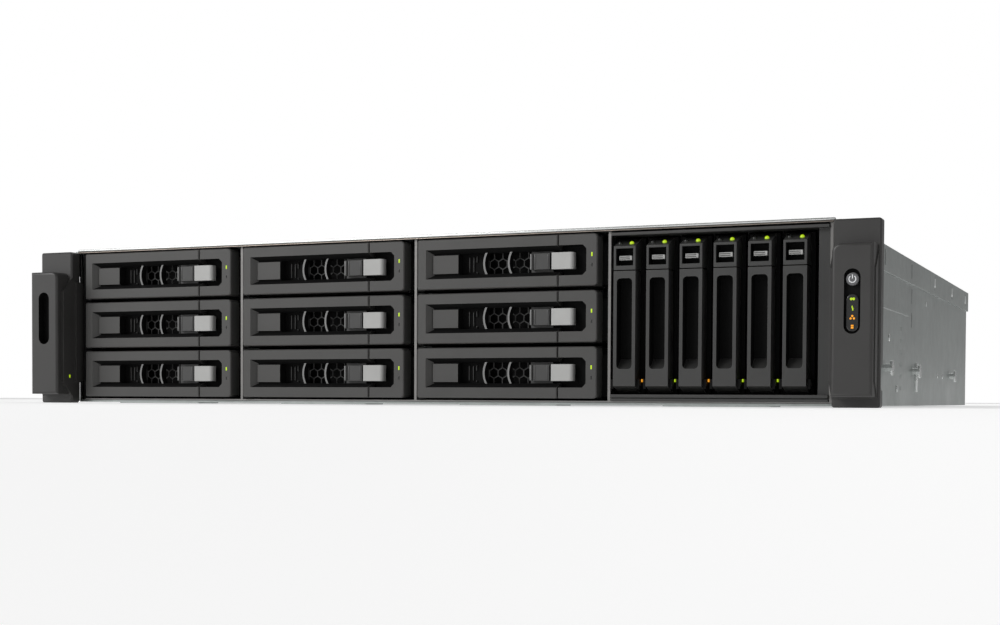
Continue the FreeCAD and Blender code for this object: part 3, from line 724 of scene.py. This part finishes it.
def pressed_tabs():
    """Bright sheared tabs on both side walls and on the cover lips."""
    wall = ((248.5, 9, 27, 1.1, 1.6), (147, 36.5, 40.5, 0.8, 0.7), (176, 8.5, 12, 0.8, 0.7),
            (295, 64.5, 67.5, 0.6, 0.4), (353, 19, 22, 0.6, 0.4), (379, 19, 22, 0.6, 0.4))
    for side, name in ((-1, "left"), (1, "right")):
        tabs = []
        for depth, bottom, top, width, reach in wall:
            x0, x1 = sorted((side * (CASE_SIDE - 1.2), side * (CASE_SIDE - 0.5 + reach)))
            tabs.append(rounded_box(x0, x1, depth, depth + width, bottom, top, 0.2))
        piece("wall_tabs_" + name, in_frame(merged(tabs)), "bright", "chassis")
        x0, x1 = sorted((side * (LIP_SIDE - 1.3), side * (LIP_SIDE + 0.35)))
        hooks = [rounded_box(x0, x1, depth - 0.9, depth + 0.9, 78.5, 84.5, 0.3)
                 for depth in (326, 417.7, 500)]
        piece("lip_hooks_" + name, in_frame(merged(hooks)), "bright", "rear_cover")


def cross_recess_shade(x, depth, z, axis):
    """Black cross standing in for the shade in a screw head's recess: along Z for the cover's
    screws, along Y for the rear ones.
    """
    if axis == "z":
        return [rounded_box(x - 1.5, x + 1.5, depth - 0.3, depth + 0.3, z, z + 0.06, 0.02),
                rounded_box(x - 0.3, x + 0.3, depth - 1.5, depth + 1.5, z, z + 0.06, 0.02)]
    return [rounded_box(x - 1.5, x + 1.5, depth, depth + 0.06, z - 0.3, z + 0.3, 0.02),
            rounded_box(x - 0.3, x + 0.3, depth, depth + 0.06, z - 1.5, z + 1.5, 0.02)]


def screw_recess_shades():
    """Painted shade in the recesses of the cover's screws and of the screws at the back."""
    top = high("front_cover").z
    crosses = []
    for x, depth in ((-200, 22), (0, 22), (200, 22), (-200, 160), (200, 160)):
        crosses += cross_recess_shade(x, depth, top - 0.01, "z")
    for x, z in ((-212, 14), (-212, 70), (142, 14), (142, 70)):
        crosses += cross_recess_shade(x, BACK + 1.59, z, "y")
    # Black crosses on the screw heads: painted shade.
    piece("screw_recess_shades", in_frame(merged(crosses)), "black", "chassis")


def supply_details(node, number):
    """Three mains pins and the status light of a power supply."""
    corner = low(node)
    pins = [rounded_box(corner.x + x - 1, corner.x + x + 1, BACK - 13.9, BACK - 3,
                        corner.z + z - 2.2, corner.z + z + 2.2, 0.3)
            for x, z in ((10, 10), (22, 10), (16, 14.5))]
    piece("mains_pins_%d" % number, in_frame(merged(pins)), "bright", node)
    lamp = rounded_box(corner.x + 33, corner.x + 35, BACK - 0.3, BACK + 0.3,
                       corner.z + 34, corner.z + 36, 0.2)
    piece("supply_light_%d" % number, in_frame(lamp), "led_green", node)


def network_details():
    """Gold contacts and two link lights in each of the four network jacks."""
    contacts = []
    lights = []
    for jack in range(JACKS):
        left = FIRST_JACK + JACK_PITCH * jack
        for contact in range(8):
            x = left + 1.6 + contact * 1.1
            contacts.append(rounded_box(x, x + 0.4, BACK - 13.9, BACK - 5.5, 18.0, 18.5, 0.1))
        for offset in (0.2, 10.0):
            x = left + offset
            lights.append(rounded_box(x, x + 1.8, BACK - 0.35, BACK - 0.05, 20.6, 21.8, 0.1))
    piece("network_contacts", in_frame(merged(contacts)), "gold", "chassis")
    piece("network_lights", in_frame(merged(lights)), "led_green", "chassis")


pressed_tabs()
screw_recess_shades()
supply_details("psu_1", 1)
supply_details("psu_2", 2)
network_details()


# Floor, lights and camera

def floor():
    """Pale floor that glows a little, so that it stays near white under the low camera."""
    mesh = bmesh.new()
    bmesh.ops.create_grid(mesh, x_segments=8, y_segments=8, size=6)
    data = bpy.data.meshes.new("floor")
    mesh.to_mesh(data)
    mesh.free()
    material, tree, surface = shader("floor", (0.9, 0.9, 0.9), 0.7,
                                     Emission_Color=(1, 1, 1, 1), Emission_Strength=0.35)
    vector = millimetres(tree)
    tint = blend_colors(tree, noise(tree, vector, 300, 3), (0.84, 0.84, 0.84), (0.88, 0.88, 0.88))
    tree.links.new(tint, surface.inputs["Base Color"])
    data.materials.append(material)
    ground = bpy.data.objects.new("floor", data)
    bpy.context.scene.collection.objects.link(ground)


def softbox(name, place, target, size, power):
    """Rectangular light, with its places and sizes in metres and its power in watts."""
    light = bpy.data.lights.new(name, "AREA")
    light.shape = "RECTANGLE"
    light.size, light.size_y = size
    light.energy = power
    lamp = bpy.data.objects.new(name, light)
    bpy.context.scene.collection.objects.link(lamp)
    lamp.location = place
    lamp.rotation_euler = (Vector(target) - Vector(place)).to_track_quat("-Z", "Y").to_euler()


LOBE_TOWARDS = (-0.80, -0.55, 0.22)
LOBE_DIM, LOBE_BRIGHT = 0.24, 1.2
LOBE_START, LOBE_END = 0.64, 0.95


def backdrop():
    """White surroundings that light the object most from the front left."""
    world = bpy.data.worlds.new("studio")
    bpy.context.scene.world = world
    world.use_nodes = True
    tree = world.node_tree
    tree.nodes.clear()
    output = tree.nodes.new("ShaderNodeOutputWorld")
    seen = tree.nodes.new("ShaderNodeBackground")
    seen.inputs["Color"].default_value = (1, 1, 1, 1)
    cast = tree.nodes.new("ShaderNodeBackground")
    cast.inputs["Color"].default_value = (1, 1, 1, 1)
    coordinates = tree.nodes.new("ShaderNodeTexCoord")
    lobe = tree.nodes.new("ShaderNodeVectorMath")
    lobe.operation = "DOT_PRODUCT"
    lobe.inputs[1].default_value = Vector(LOBE_TOWARDS).normalized()
    tree.links.new(coordinates.outputs["Generated"], lobe.inputs[0])
    glow = spread(tree, lobe.outputs["Value"], LOBE_DIM, LOBE_BRIGHT, LOBE_START, LOBE_END)
    tree.links.new(glow, cast.inputs["Strength"])
    path = tree.nodes.new("ShaderNodeLightPath")
    mix = tree.nodes.new("ShaderNodeMixShader")
    tree.links.new(path.outputs["Is Camera Ray"], mix.inputs["Fac"])
    tree.links.new(cast.outputs["Background"], mix.inputs[1])
    tree.links.new(seen.outputs["Background"], mix.inputs[2])
    tree.links.new(mix.outputs["Shader"], output.inputs["Surface"])


VIEWPOINT = (356.4, -705.8, 2.85)
YAW, PITCH, ROLL = 23.497, -1.548, 0.289
LENS = 54.1
LENS_SHIFT = 0.128


def camera():
    """Low viewpoint to the right of the front, level with the case's floor."""
    yaw, pitch, roll = (math.radians(angle) for angle in (YAW, PITCH, ROLL))
    forward = Vector((-math.sin(yaw) * math.cos(pitch), math.cos(yaw) * math.cos(pitch),
                      math.sin(pitch)))
    right = Vector((math.cos(yaw), math.sin(yaw), 0))
    up = right.cross(forward)
    side = right * math.cos(roll) + up * math.sin(roll)
    top = up * math.cos(roll) - right * math.sin(roll)
    lens = bpy.data.cameras.new("camera")
    lens.sensor_width = 36
    lens.lens = LENS
    lens.shift_y = LENS_SHIFT
    lens.clip_start = 0.01
    view = bpy.data.objects.new("camera", lens)
    bpy.context.scene.collection.objects.link(view)
    turn = Matrix((side, top, -forward)).transposed().to_4x4()
    view.matrix_world = Matrix.Translation(at(*VIEWPOINT)) @ turn
    bpy.context.scene.camera = view


floor()
softbox("key", (-1.5, -1.9, 1.3), (0, -0.2, 0.05), (1.6, 1.0), 28)
softbox("fill", (1.7, -1.2, 0.9), (0.1, -0.1, 0.05), (1.0, 0.8), 3)
softbox("rim", (0.3, 1.8, 1.6), (0, 0.1, 0.05), (2.0, 1.0), 14)
backdrop()
camera()
bpy.context.scene.view_settings.view_transform = "Standard"
